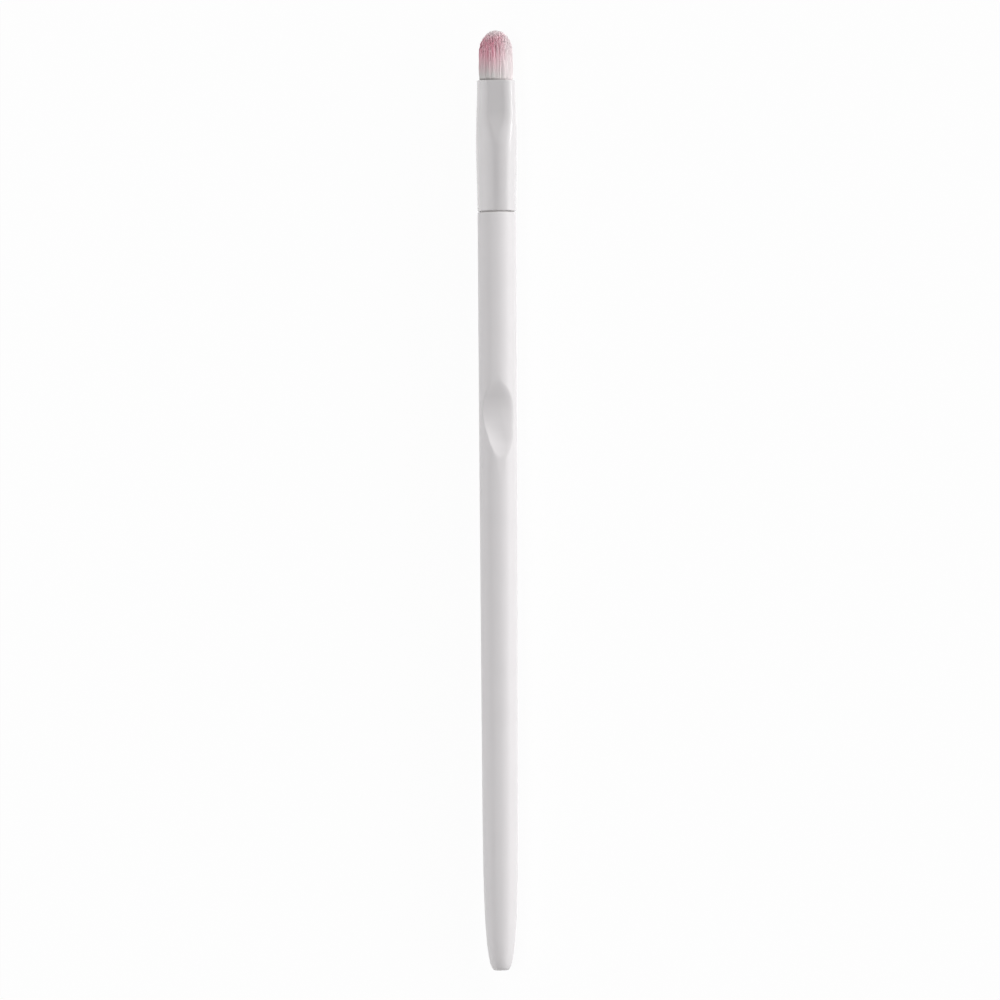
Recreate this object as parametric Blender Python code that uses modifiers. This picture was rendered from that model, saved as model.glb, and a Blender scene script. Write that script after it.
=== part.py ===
"""Eyeliner brush: a round-ended tuft in a metal ferrule with a pressed mouth, on a handle with a thumb scoop.

Lengths are in metres. The brush lies along Y with its tip at +Y. The mouth's front flat and the thumb scoop
look up along +Z, and the origin is under the middle of the brush, on the surface that it lies on.

Every piece is modelled upright round the brush's own axis, with zero height at the handle's shoulder, the
tuft above it and the front towards -Y, and is parented to an empty that lays the brush down.
"""

import math

import bmesh
import bpy

# Handle: one moulding with a shoulder, a plain tenon above it and a round shaft below it
HANDLE_LENGTH = 0.1330
SHAFT_TAPER = 0.00036
TAIL_LENGTH = 0.0370
BUTT_RADIUS = 0.00105
SHOULDER_STEP = 0.00005
SHOULDER_ROUNDING = 0.00022
TENON_LENGTH = 0.0090
TENON_CHAMFER = 0.0005

# Thumb scoop in the front of the shaft, with its top this far below the shoulder. Its floor is flat at first
# and faces a little to the left, then hollows and turns to the right
SCOOP_TOP = 0.0286
SCOOP_LENGTH = 0.0174
SCOOP_DEPTH = 0.0012
SCOOP_TROUGH_RADIUS = 0.0110
SCOOP_UPPER_TURN = math.radians(-4.5)
SCOOP_LOWER_TURN = math.radians(10.0)

# Ferrule: a thin tube, round where it takes the handle, with its mouth pressed to flats front and back
FERRULE_LENGTH = 0.0228
FERRULE_WALL = 0.00025
FERRULE_BASE_RADIUS = 0.00342
FERRULE_BELLY_RADIUS = 0.0036
MOUTH_HALF_WIDTH = 0.00335
MOUTH_HALF_THICKNESS = 0.0025
MOUTH_CORNER_RADIUS = 0.0022
MOUTH_FLAT_LENGTH = 0.0050
MOUTH_FADE_LENGTH = 0.0034
MOUTH_FLARE_LENGTH = 0.0060
RIM_ROUNDING = 0.0001

# Clearances between the pieces
SEAM_GAP = 0.0003
BOND_GAP = 0.00008
GLUE_FILM = 0.00025
PLUG_TO_TENON = 0.0015

# Resin that holds the roots: how far below the mouth it starts, and the slice that is cut off with the tuft
RESIN_DEPTH = 0.0024
SLICE_THICKNESS = 0.0008

# Tuft: its length past the mouth, the height of its rounded end and each strand
TUFT_LENGTH = 0.0089
DOME_HEIGHT = 0.0046
FACE_DROP = 0.0016
STRAND_RADIUS = 0.000065

# Shapes that follow the sizes above
TAPER_POWER = 1.6
TAIL_ROUNDNESS = 4.0
TAIL_POWER = 0.4
BELLY_PLACE_SHARE = 0.48
SCOOP_DEPTH_SHARES = (-0.05, 0.11, 0.41, 0.76, 0.97, 1.0, 0.92, 0.84, 0.7, 0.38, 0.07, 0.012, -0.05)
SCOOP_TURN_SHARES = (0.34, 0.72)
SCOOP_HOLLOW_SHARES = (0.45, 0.65)
SCOOP_LEAST_HOLLOW_SHARE = 0.03
SCOOP_COVER_SHARE = 1.25
TUFT_WIDTH_CLOSING_SHARE = 0.03
TUFT_THICKNESS_CLOSING_SHARE = 0.5
STRAND_TIP_SHARE = 0.4
STRAND_SINK_SHARE = 0.6

# Counts
SIDES = 48
SHAFT_RINGS = 12
TAIL_RINGS = 13
ROUNDING_POINTS = 4
SCOOP_ARC_STEPS = 16
SCOOP_RINGS = 20
FLAT_RINGS = 2
FLARE_RINGS = 8
BODY_RINGS = 6
STRAND_ROWS = 13
STRAND_COLUMNS = 31

MERGE_DISTANCE = 0.000001
SHARP_ANGLE = math.radians(18.0)
RIM_ANGLE = math.radians(60.0)

# Sizes and places that follow from the ones above
HALF_STEP = math.pi / SIDES
SHOULDER_RADIUS = FERRULE_BASE_RADIUS - SHOULDER_STEP
MOUTH_HEIGHT = SEAM_GAP + FERRULE_LENGTH
TIP_HEIGHT = MOUTH_HEIGHT + TUFT_LENGTH
TENON_RADIUS = FERRULE_BASE_RADIUS - FERRULE_WALL - 2.0 * BOND_GAP - GLUE_FILM
AXIS_HEIGHT = FERRULE_BELLY_RADIUS * math.cos(HALF_STEP)
SHOULDER_PLACE = (HANDLE_LENGTH - TIP_HEIGHT) / 2.0


def eased(share):
    """Goes from 0 to 1 with a level start and end."""
    share = min(max(share, 0.0), 1.0)
    return share * share * (3.0 - 2.0 * share)


def between(first, last, share):
    return first + (last - first) * share


def shares(count):
    """Even shares from just above 0 up to 1."""
    return [(index + 1) / count for index in range(count)]


def smoothed(values, share):
    """A smooth curve through values at even steps, read at a share of the way along them."""
    steps = len(values) - 1
    low = min(int(share * steps), steps - 1)
    along = share * steps - low
    before = values[low - 1] if low > 0 else 2.0 * values[0] - values[1]
    start, end = values[low], values[low + 1]
    after = values[low + 2] if low + 2 <= steps else 2.0 * values[-1] - values[-2]
    bend = along * (3.0 * (start - end) + after - before)
    slope = along * (2.0 * before - 5.0 * start + 4.0 * end - after + bend)
    return start + 0.5 * along * (end - before + slope)


def passed(share, span):
    """How far a change has gone that runs over a span of shares."""
    return eased((share - span[0]) / (span[1] - span[0]))


def ferrule_half_width(depth):
    """Half the ferrule's width at a depth below its mouth, which swells to a belly before the base."""
    belly_depth = BELLY_PLACE_SHARE * FERRULE_LENGTH
    if depth < belly_depth:
        return between(MOUTH_HALF_WIDTH, FERRULE_BELLY_RADIUS, eased(depth / belly_depth))
    to_base = (depth - belly_depth) / (FERRULE_LENGTH - belly_depth)
    return between(FERRULE_BELLY_RADIUS, FERRULE_BASE_RADIUS, eased(to_base))


def ferrule_section(depth, inset):
    """Half width, half thickness and corner radius below the mouth, drawn in by an inset.

    Past the pressed flats the corners grow until the flats have faded, and the thickness flares to the width.
    """
    half_width = ferrule_half_width(depth)
    past_flat = depth - MOUTH_FLAT_LENGTH
    half_thickness = between(MOUTH_HALF_THICKNESS, half_width, eased(past_flat / MOUTH_FLARE_LENGTH))
    fade = eased(past_flat / MOUTH_FADE_LENGTH)
    corner = between(MOUTH_CORNER_RADIUS, min(half_width, half_thickness), fade)
    return half_width - inset, half_thickness - inset, corner - inset


def ferrule_depths():
    """Depths of the ferrule's rings below its mouth, down the flats, the flare and the body."""
    depths = [0.0] + [MOUTH_FLAT_LENGTH * share for share in shares(FLAT_RINGS)]
    depths += [MOUTH_FLAT_LENGTH + MOUTH_FLARE_LENGTH * share for share in shares(FLARE_RINGS)]
    depths += [between(depths[-1], FERRULE_LENGTH, share) for share in shares(BODY_RINGS)]
    return depths


def handle_radius(depth):
    """The shaft's radius below the shoulder: a slow taper, then a tail that rounds off to the flat butt."""
    taper = SHOULDER_RADIUS - SHAFT_TAPER * (depth / HANDLE_LENGTH) ** TAPER_POWER
    tail = max(0.0, 1.0 - (HANDLE_LENGTH - depth) / TAIL_LENGTH)
    return between(BUTT_RADIUS, taper, max(0.0, 1.0 - tail**TAIL_ROUNDNESS) ** TAIL_POWER)


def rounded_corner(radius, height, rounding):
    """A quarter circle from a level face at this height to an upright side at this radius."""
    points = []
    for share in shares(ROUNDING_POINTS):
        angle = share * math.pi / 2.0
        corner_radius = radius - rounding * (1.0 - math.sin(angle))
        points.append((corner_radius, height - rounding * (1.0 - math.cos(angle))))
    return points


def ferrule_ring(depth, inset):
    """Points round the ferrule's section at a depth below its mouth, drawn in by an inset."""
    half_width, half_thickness, corner = ferrule_section(depth, inset)
    points = []
    for side in range(SIDES):
        angle = 2.0 * math.pi * side / SIDES + HALF_STEP
        across = corner * math.cos(angle)
        through = corner * math.sin(angle)
        across += math.copysign(half_width - corner, across)
        through += math.copysign(half_thickness - corner, through)
        points.append((across, through, MOUTH_HEIGHT - depth))
    return points


def new_object(name, mesh, collection):
    piece = bpy.data.objects.new(name, mesh)
    collection.objects.link(piece)
    piece.parent = bpy.data.objects["brush_axis"]
    return piece


def turned(name, profile, steps, collection, ring=False):
    """A turned piece, whose profile runs down its outer side and, for a ring, back up the inner one."""
    mesh = bpy.data.meshes.new(name)
    edges = [(index, index + 1) for index in range(len(profile) - 1)]
    if ring:
        edges.append((len(profile) - 1, 0))
    mesh.from_pydata([(radius, 0.0, height) for radius, height in profile], edges, [])
    piece = new_object(name, mesh, collection)
    screw = piece.modifiers.new("turn", "SCREW")
    screw.axis = "Z"
    screw.steps = steps
    screw.render_steps = steps
    screw.use_merge_vertices = True
    screw.merge_threshold = MERGE_DISTANCE
    return piece


def lofted(name, rings, capped, collection):
    """A skin through rings of points, listed from the top down, with or without end caps."""
    shape = bmesh.new()
    loops = [[shape.verts.new(point) for point in ring] for ring in rings]
    for upper, lower in zip(loops, loops[1:]):
        for side in range(len(upper)):
            shape.faces.new((upper[side - 1], lower[side - 1], lower[side], upper[side]))
    if capped:
        shape.faces.new(loops[0])
        shape.faces.new(reversed(loops[-1]))
    mesh = bpy.data.meshes.new(name)
    shape.to_mesh(mesh)
    shape.free()
    return new_object(name, mesh, collection)


def settle(piece):
    """Applies a piece's modifiers and shades it smooth between its crisp edges."""
    bpy.context.view_layer.update()
    evaluated = piece.evaluated_get(bpy.context.evaluated_depsgraph_get())
    mesh = bpy.data.meshes.new_from_object(evaluated)
    mesh.name = piece.name
    piece.modifiers.clear()
    piece.data = mesh
    mesh.shade_smooth()
    mesh.set_sharp_from_angle(angle=SHARP_ANGLE)


def finish(piece, material):
    settle(piece)
    piece.data.materials.clear()
    piece.data.materials.append(material)


def plain_material(name, colour, roughness, metallic):
    material = bpy.data.materials.new(name)
    material.use_nodes = True
    shader = material.node_tree.nodes["Principled BSDF"]
    shader.inputs["Base Color"].default_value = (*colour, 1.0)
    shader.inputs["Roughness"].default_value = roughness
    shader.inputs["Metallic"].default_value = metallic
    material.diffuse_color = (*colour, 1.0)
    return material


def handle_profile():
    """Tenon, shoulder, shaft and tail, from the tenon's end down to the butt."""
    points = [
        (0.0, TENON_LENGTH),
        (TENON_RADIUS - TENON_CHAMFER, TENON_LENGTH),
        (TENON_RADIUS, TENON_LENGTH - TENON_CHAMFER),
        (TENON_RADIUS, 0.0),
        (SHOULDER_RADIUS - SHOULDER_ROUNDING, 0.0),
    ]
    points += rounded_corner(SHOULDER_RADIUS, 0.0, SHOULDER_ROUNDING)
    tail_start = HANDLE_LENGTH - TAIL_LENGTH
    depths = [between(SHOULDER_ROUNDING, tail_start, share) for share in shares(SHAFT_RINGS)]
    depths += [SCOOP_TOP, SCOOP_TOP + SCOOP_LENGTH]
    depths += [tail_start + TAIL_LENGTH * math.sin(share * math.pi / 2.0) for share in shares(TAIL_RINGS)]
    points += [(handle_radius(depth), -depth) for depth in sorted(depths)]
    points.append((0.0, -HANDLE_LENGTH))
    return points


def scoop_ring(share):
    """A trough across the shaft at a share of the scoop's length, which faces the way that it is turned."""
    depth = SCOOP_TOP + SCOOP_LENGTH * share
    turn = between(SCOOP_UPPER_TURN, SCOOP_LOWER_TURN, passed(share, SCOOP_TURN_SHARES))
    floor = handle_radius(depth) - SCOOP_DEPTH * smoothed(SCOOP_DEPTH_SHARES, share)
    radius = SCOOP_TROUGH_RADIUS / max(SCOOP_LEAST_HOLLOW_SHARE, passed(share, SCOOP_HOLLOW_SHARES))
    reach = SCOOP_COVER_SHARE * SHOULDER_RADIUS
    spread = math.asin(reach / radius)
    outline = []
    for step in range(SCOOP_ARC_STEPS + 1):
        angle = spread * (1.0 - 2.0 * step / SCOOP_ARC_STEPS)
        outline.append((radius * math.sin(angle), floor + radius * (1.0 - math.cos(angle))))
    outline += [(-reach, floor + 2.0 * reach), (reach, floor + 2.0 * reach)]
    sine, cosine = math.sin(turn), math.cos(turn)
    return [(across * cosine + out * sine, across * sine - out * cosine, -depth) for across, out in outline]


def make_scoop_cutter(cutters):
    """A lofted pad whose underside turns round the shaft as it goes down, to cut the leaf-shaped scoop."""
    rings = [scoop_ring(share) for share in [0.0] + shares(SCOOP_RINGS)]
    cutter = lofted("scoop_cutter", rings, True, cutters)
    cutter.hide_render = True
    cutter.display_type = "WIRE"
    return cutter


def make_handle(parts, cutters):
    handle = turned("handle", handle_profile(), SIDES, parts)
    handle.rotation_euler.z = HALF_STEP
    scoop = handle.modifiers.new("thumb scoop", "BOOLEAN")
    scoop.operation = "DIFFERENCE"
    scoop.solver = "EXACT"
    scoop.object = make_scoop_cutter(cutters)
    finish(handle, plain_material("gloss white plastic", (0.83, 0.82, 0.83), 0.25, 0.0))


def make_ferrule(parts):
    """An open skin from the pressed mouth to the round base, given its wall and rounded rims."""
    ferrule = lofted("ferrule", [ferrule_ring(depth, 0.0) for depth in ferrule_depths()], False, parts)
    wall = ferrule.modifiers.new("wall", "SOLIDIFY")
    wall.thickness = FERRULE_WALL
    wall.offset = -1.0
    wall.use_even_offset = True
    rims = ferrule.modifiers.new("rims", "BEVEL")
    rims.width = RIM_ROUNDING
    rims.segments = 2
    rims.limit_method = "ANGLE"
    rims.angle_limit = RIM_ANGLE
    finish(ferrule, plain_material("white lacquered aluminium", (0.82, 0.81, 0.82), 0.2, 0.35))


def make_root_plug(parts):
    """The cured resin that the roots stand in, filling the ferrule from the slice down towards the tenon."""
    top = RESIN_DEPTH + SLICE_THICKNESS + BOND_GAP
    bottom = MOUTH_HEIGHT - TENON_LENGTH - PLUG_TO_TENON
    middle = [depth for depth in ferrule_depths() if top + BOND_GAP < depth < bottom - BOND_GAP]
    inset = FERRULE_WALL + BOND_GAP
    plug = lofted("root_plug", [ferrule_ring(depth, inset) for depth in (top, *middle, bottom)], True, parts)
    finish(plug, plain_material("amber resin", (0.62, 0.45, 0.2), 0.3, 0.0))


def make_tenon_glue(parts):
    """The sleeve of set glue between the tenon and the ferrule's bore."""
    inner = TENON_RADIUS + BOND_GAP
    outer = inner + GLUE_FILM
    top = TENON_LENGTH - TENON_CHAMFER
    bottom = SEAM_GAP
    profile = [(outer, top), (outer, bottom), (inner, bottom), (inner, top)]
    glue = turned("tenon_glue", profile, SIDES, parts, ring=True)
    glue.rotation_euler.z = HALF_STEP
    finish(glue, plain_material("set glue", (0.78, 0.74, 0.6), 0.35, 0.0))


def strand_places():
    """Where the strands stand in the slice: rows across the thickness, each as long as the section allows."""
    inset = FERRULE_WALL + BOND_GAP + STRAND_RADIUS
    half_width, half_thickness, corner = ferrule_section(RESIN_DEPTH, inset)
    pitch = 2.0 * half_width / (STRAND_COLUMNS - 1)
    places = []
    for row in range(STRAND_ROWS):
        face_share = 2.0 * row / (STRAND_ROWS - 1) - 1.0
        past_face = max(0.0, corner - half_thickness * (1.0 - abs(face_share)))
        reach = half_width - corner + math.sqrt(max(0.0, corner * corner - past_face * past_face))
        gaps = round(2.0 * reach / pitch)
        for column in range(gaps + 1):
            across = reach * (2.0 * column / gaps - 1.0)
            places.append((across, face_share * half_thickness, across / half_width, face_share))
    return places


def strand_tip(side_share, face_share):
    """How far past the mouth a strand ends, for its place across the width and the thickness."""
    dome = DOME_HEIGHT * (1.0 - math.sqrt(max(0.0, 1.0 - side_share * side_share)))
    return TUFT_LENGTH - dome - FACE_DROP * face_share * face_share


def make_strands(collection):
    """Straight, tapering four-sided strands that draw together towards the tip without crossing."""
    curve = bpy.data.curves.new("strands", "CURVE")
    curve.dimensions = "3D"
    curve.bevel_depth = STRAND_RADIUS
    curve.bevel_resolution = 0
    curve.use_fill_caps = True
    slice_top = MOUTH_HEIGHT - RESIN_DEPTH
    root = slice_top - STRAND_SINK_SHARE * SLICE_THICKNESS
    for across, through, side_share, face_share in strand_places():
        tip = MOUTH_HEIGHT + strand_tip(side_share, face_share)
        rise = (tip - root) / (TIP_HEIGHT - root)
        width_left = 1.0 - TUFT_WIDTH_CLOSING_SHARE * rise
        thickness_left = 1.0 - TUFT_THICKNESS_CLOSING_SHARE * rise
        strand = curve.splines.new("POLY")
        strand.points.add(1)
        strand.points[0].co = (across, through, root, 1.0)
        strand.points[1].co = (across * width_left, through * thickness_left, tip, 1.0)
        strand.points[1].radius = STRAND_TIP_SHARE
    guide = new_object("strands", curve, collection)
    bpy.context.view_layer.update()
    mesh = bpy.data.meshes.new_from_object(guide.evaluated_get(bpy.context.evaluated_depsgraph_get()))
    bpy.data.objects.remove(guide)
    shape = bmesh.new()
    shape.from_mesh(mesh)
    bmesh.ops.remove_doubles(shape, verts=shape.verts, dist=MERGE_DISTANCE)
    shape.to_mesh(mesh)
    shape.free()
    strands = new_object("strands", mesh, collection)
    strands.hide_render = True
    strands.display_type = "WIRE"
    return strands


def make_bristles(parts, cutters):
    """The tuft: all its strands joined to the top slice of the resin they stand in."""
    inset = FERRULE_WALL + BOND_GAP
    depths = (RESIN_DEPTH, RESIN_DEPTH + SLICE_THICKNESS)
    bristles = lofted("bristles", [ferrule_ring(depth, inset) for depth in depths], True, parts)
    join = bristles.modifiers.new("strands", "BOOLEAN")
    join.operation = "UNION"
    join.solver = "EXACT"
    join.object = make_strands(cutters)
    finish(bristles, plain_material("pink dipped filament", (0.6, 0.27, 0.34), 0.4, 0.0))


def new_collection(name):
    collection = bpy.data.collections.new(name)
    bpy.context.scene.collection.children.link(collection)
    return collection


def main():
    for old in list(bpy.data.objects):
        bpy.data.objects.remove(old)
    parts = new_collection("eyeliner_brush")
    cutters = new_collection("cutters")
    axis = bpy.data.objects.new("brush_axis", None)
    axis.location = (0.0, SHOULDER_PLACE, AXIS_HEIGHT)
    axis.rotation_euler = (-math.pi / 2.0, 0.0, 0.0)
    parts.objects.link(axis)
    make_handle(parts, cutters)
    make_ferrule(parts)
    make_root_plug(parts)
    make_tenon_glue(parts)
    make_bristles(parts, cutters)


main()
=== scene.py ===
"""Looks of the eyeliner brush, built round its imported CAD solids.

The brush lies along Y with its tip at +Y. The front flat of its mouth and its thumb scoop look up, along +Z.
Lengths are in metres. An angle round the brush is zero at the top and grows towards +X, and a depth grows
towards the butt.
"""

import logging
import math
from dataclasses import dataclass
from enum import Enum
from typing import Any

import bmesh
import bpy
import numpy as np
from mathutils import Matrix, Vector


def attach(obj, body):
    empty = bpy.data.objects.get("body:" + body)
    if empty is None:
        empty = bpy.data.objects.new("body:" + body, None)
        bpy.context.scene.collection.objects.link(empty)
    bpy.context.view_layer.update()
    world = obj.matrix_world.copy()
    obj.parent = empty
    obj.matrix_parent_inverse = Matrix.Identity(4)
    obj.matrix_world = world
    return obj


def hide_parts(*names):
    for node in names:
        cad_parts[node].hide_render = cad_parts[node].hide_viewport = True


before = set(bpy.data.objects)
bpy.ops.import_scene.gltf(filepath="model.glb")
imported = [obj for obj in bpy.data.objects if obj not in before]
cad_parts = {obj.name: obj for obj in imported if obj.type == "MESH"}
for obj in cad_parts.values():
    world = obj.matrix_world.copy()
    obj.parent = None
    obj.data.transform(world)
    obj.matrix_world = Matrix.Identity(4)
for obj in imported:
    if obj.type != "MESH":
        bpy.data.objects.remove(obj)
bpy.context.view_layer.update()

MILLIMETRE = 0.001
WELD_DISTANCE = 0.0000005
CREASE_ANGLE = math.radians(35.0)
PLASTIC_IOR = 1.54
WHITE = (1.0, 1.0, 1.0, 1.0)
# A circle of this share of the radius of the CAD's round solids touches their flat sides from inside
CAD_SIDES = 48
FLAT_SHARE = math.cos(math.pi / CAD_SIDES)


class Slot(str, Enum):
    """The record's material slots."""

    HANDLE = "handle"
    FERRULE = "ferrule"
    BRISTLES = "bristles"
    ROOT_PLUG = "root_plug"
    TENON_GLUE = "tenon_glue"


class Layout(Enum):
    """How a turned profile's ends are joined."""

    OPEN = "a skin from pole to pole"
    RING = "a closed loop, as for a tube with a wall"


def eased(share: float) -> float:
    """Goes from 0 to 1 with a level start and end."""
    share = min(max(share, 0.0), 1.0)
    return share * share * (3.0 - 2.0 * share)


def between(first: float, last: float, share: float) -> float:
    """The value at a share of the way from the first to the last."""
    return first + (last - first) * share


def smoothed(values: tuple[float, ...], share: float) -> float:
    """A smooth curve through values at even steps, read at a share of the way along them."""
    steps = len(values) - 1
    low = min(int(share * steps), steps - 1)
    along = share * steps - low
    before = values[low - 1] if low > 0 else 2.0 * values[0] - values[1]
    start, end = values[low], values[low + 1]
    after = values[low + 2] if low + 2 <= steps else 2.0 * values[-1] - values[-2]
    bend = along * (3.0 * (start - end) + after - before)
    slope = along * (2.0 * before - 5.0 * start + 4.0 * end - after + bend)
    return start + 0.5 * along * (end - before + slope)


def smooth_least(first: float, second: float, rounding: float) -> float:
    """The smaller of two values, with the corner where they cross rounded off over this width."""
    share = min(max(0.5 + 0.5 * (second - first) / rounding, 0.0), 1.0)
    return between(second, first, share) - rounding * share * (1.0 - share)


def linear(hex_colour: str) -> tuple[float, float, float, float]:
    """Turns an sRGB hex colour into the linear RGBA that a shader's sockets hold."""
    channels = [int(hex_colour[start : start + 2], 16) / 255.0 for start in (1, 3, 5)]
    light = [value / 12.92 if value <= 0.04045 else ((value + 0.055) / 1.055) ** 2.4 for value in channels]
    return light[0], light[1], light[2], 1.0


def grain(millimetres: float) -> float:
    """A noise texture's scale for grains of about this size."""
    return 1.0 / (millimetres * MILLIMETRE)


def add_node(
    tree: bpy.types.NodeTree, kind: str, sockets: dict | None = None, **settings: Any
) -> bpy.types.Node:
    """Adds a node, makes its settings and fills its input sockets.

    Args:
        tree: The node tree that gets the node.
        kind: Blender's own name of the node's type.
        sockets: Names or numbers of input sockets, each with a value, or with an output socket to link.
        settings: The node's own properties.

    Returns:
        The new node.
    """
    node = tree.nodes.new(kind)
    for name, value in settings.items():
        setattr(node, name, value)
    for name, value in (sockets or {}).items():
        if isinstance(value, bpy.types.NodeSocket):
            tree.links.new(value, node.inputs[name])
        else:
            node.inputs[name].default_value = value
    return node


def new_material(name: str) -> tuple[bpy.types.Material, bpy.types.NodeTree, bpy.types.Node]:
    """Makes a material that holds one Principled shader.

    Args:
        name: What the finish is called.

    Returns:
        The material, its node tree and its shader.
    """
    material = bpy.data.materials.new(name)
    material.use_nodes = True
    tree = material.node_tree
    return material, tree, tree.nodes["Principled BSDF"]


def clouded(
    tree: bpy.types.NodeTree, place: bpy.types.NodeSocket, size: float, shades: tuple[str, str], detail: float
) -> tuple[bpy.types.NodeSocket, bpy.types.NodeSocket]:
    """Drifts softly from one shade to another and back.

    Args:
        tree: The node tree that gets the nodes.
        place: The coordinates that the clouds lie in.
        size: How large the clouds are, in millimetres.
        shades: The two hex colours.
        detail: How many finer clouds are laid over them.

    Returns:
        The clouds' own socket, from 0 to 1, and the colour's.
    """
    cloud = add_node(tree, "ShaderNodeTexNoise", {"Vector": place, "Scale": grain(size), "Detail": detail})
    tone = add_node(
        tree,
        "ShaderNodeMix",
        {0: cloud.outputs["Fac"], 6: linear(shades[0]), 7: linear(shades[1])},
        data_type="RGBA",
    )
    return cloud.outputs["Fac"], tone.outputs[2]


def finished(shape: bmesh.types.BMesh, name: str) -> bpy.types.Object:
    """Turns a bmesh into a smooth-shaded object at the origin, welded and with its faces facing out.

    Args:
        shape: The mesh, which is freed.
        name: The new object's name.

    Returns:
        The object, linked to the scene.
    """
    bmesh.ops.remove_doubles(shape, verts=shape.verts, dist=WELD_DISTANCE)
    bmesh.ops.recalc_face_normals(shape, faces=shape.faces)
    mesh = bpy.data.meshes.new(name)
    shape.to_mesh(mesh)
    shape.free()
    mesh.shade_smooth()
    mesh.set_sharp_from_angle(angle=CREASE_ANGLE)
    piece = bpy.data.objects.new(name, mesh)
    bpy.context.scene.collection.objects.link(piece)
    return piece


def dress(piece: bpy.types.Object, material: bpy.types.Material) -> None:
    """Gives a piece one material in place of those it has."""
    piece.data.materials.clear()
    piece.data.materials.append(material)


@dataclass(frozen=True)
class BrushAxis:
    """The straight line through the middle of the brush.

    Attributes:
        height: How high the line lies over the surface that the brush rests on.
        shoulder: The handle's shoulder along Y, where depth is zero.
    """

    height: float = 0.003592
    shoulder: float = 0.0505

    def point(self, angle: float, radius: float, depth: float) -> Vector:
        """The place at an angle and radius round the axis and a depth along it."""
        across, rise = radius * math.sin(angle), radius * math.cos(angle)
        return Vector((across, self.shoulder - depth, self.height + rise))

    def measure(self, place: Vector) -> tuple[float, float, float]:
        """The angle, radius and depth of a place."""
        rise = place.z - self.height
        return math.atan2(place.x, rise), math.hypot(place.x, rise), self.shoulder - place.y

    def turn(self, profile: list[tuple[float, float]], steps: int, layout: Layout) -> bmesh.types.BMesh:
        """Spins a profile once round the axis.

        Args:
            profile: Radii, each with its depth.
            steps: How many sides the round gets.
            layout: Whether the profile is open or closes on itself.

        Returns:
            The turned mesh.
        """
        shape = bmesh.new()
        corners = [shape.verts.new(self.point(0.0, radius, depth)) for radius, depth in profile]
        followers = corners[1:] + (corners[:1] if layout is Layout.RING else [])
        edges = [shape.edges.new(pair) for pair in zip(corners, followers)]
        bmesh.ops.spin(
            shape,
            geom=corners + edges,
            cent=(0.0, 0.0, self.height),
            axis=(0.0, 1.0, 0.0),
            dvec=(0.0, 0.0, 0.0),
            angle=2.0 * math.pi,
            space=Matrix(),
            steps=steps,
            use_merge=True,
            use_normal_flip=False,
            use_duplicate=False,
        )
        return shape


@dataclass(frozen=True)
class MouldedPlastic:
    """Injection-moulded ABS in white: an even satin gloss with the faint orange peel of a polished mould.

    Attributes:
        colour: The lightest of it.
        shaded_colour: The darkest, a shade off it.
        cloud_size: How far apart the two lie, in millimetres.
        roughness: How matte it is.
        roughness_spread: How much more or less matte it is in places.
        peel_size: The orange peel's pitch in millimetres.
        peel_height: How high it stands.
    """

    colour: str = "#EAE7E8"
    shaded_colour: str = "#E5E2E3"
    cloud_size: float = 7.0
    roughness: float = 0.36
    roughness_spread: float = 0.05
    peel_size: float = 1.1
    peel_height: float = 0.0000012

    def material(self) -> bpy.types.Material:
        """Builds the finish from noise at two scales."""
        material, tree, shader = new_material("injection-moulded white ABS")
        place = add_node(tree, "ShaderNodeTexCoord").outputs["Object"]
        cloud, tone = clouded(tree, place, self.cloud_size, (self.shaded_colour, self.colour), 3.0)
        peel = add_node(
            tree, "ShaderNodeTexNoise", {"Vector": place, "Scale": grain(self.peel_size), "Detail": 2.0}
        )
        gloss = add_node(
            tree,
            "ShaderNodeMapRange",
            {
                "Value": cloud,
                "To Min": self.roughness - self.roughness_spread,
                "To Max": self.roughness + self.roughness_spread,
            },
        )
        bump = add_node(
            tree,
            "ShaderNodeBump",
            {"Height": peel.outputs["Fac"], "Distance": self.peel_height, "Strength": 1.0},
        )
        tree.links.new(tone, shader.inputs["Base Color"])
        tree.links.new(gloss.outputs["Result"], shader.inputs["Roughness"])
        tree.links.new(bump.outputs["Normal"], shader.inputs["Normal"])
        shader.inputs["IOR"].default_value = PLASTIC_IOR
        return material


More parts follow.
